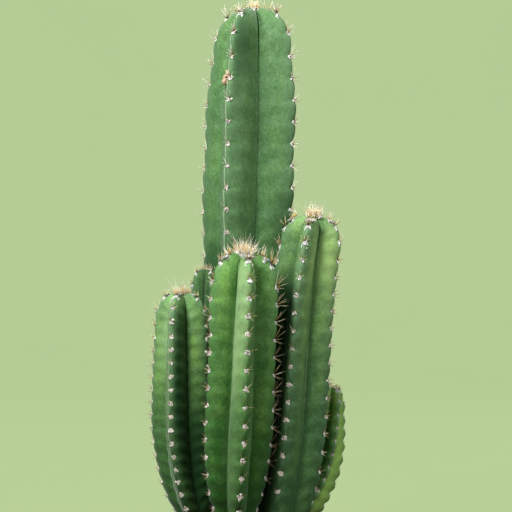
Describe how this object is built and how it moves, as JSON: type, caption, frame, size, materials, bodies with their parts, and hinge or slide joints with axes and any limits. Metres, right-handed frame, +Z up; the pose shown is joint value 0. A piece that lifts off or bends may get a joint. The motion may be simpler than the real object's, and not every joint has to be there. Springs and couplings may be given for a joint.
{
  "type": "columnar cactus clump",
  "caption": "Clump of upright ribbed columnar cactus stems of unequal height with spiny areoles and woolly tips, rising from one woody crown cut flat underneath.",
  "frame": {"origin": "on the flat cut face under the clump, below the axis of the tall stem's foot", "axes": "+Z up along the stems, +X to the right as the clump is seen from its front, -Y towards the front, where the short front stem stands"},
  "size_m": [0.2017, 0.1852, 0.5527],
  "materials": {
    "flesh": "waxy green skin with a faint bloom, satin",
    "wool": "felted cream wool with golden spines, matte",
    "bark": "corky brown bark over pale cut wood, matte"
  },
  "bodies": {
    "root": {"main_stem": "flesh", "front_stem": "flesh", "right_stem": "flesh", "left_stem": "flesh", "rear_left_stem": "flesh", "far_right_stem": "flesh", "main_tuft": "wool", "front_tuft": "wool", "right_tuft": "wool", "left_tuft": "wool", "rear_left_tuft": "wool", "far_right_tuft": "wool", "root_crown": "bark"}
  },
  "joints": []
}
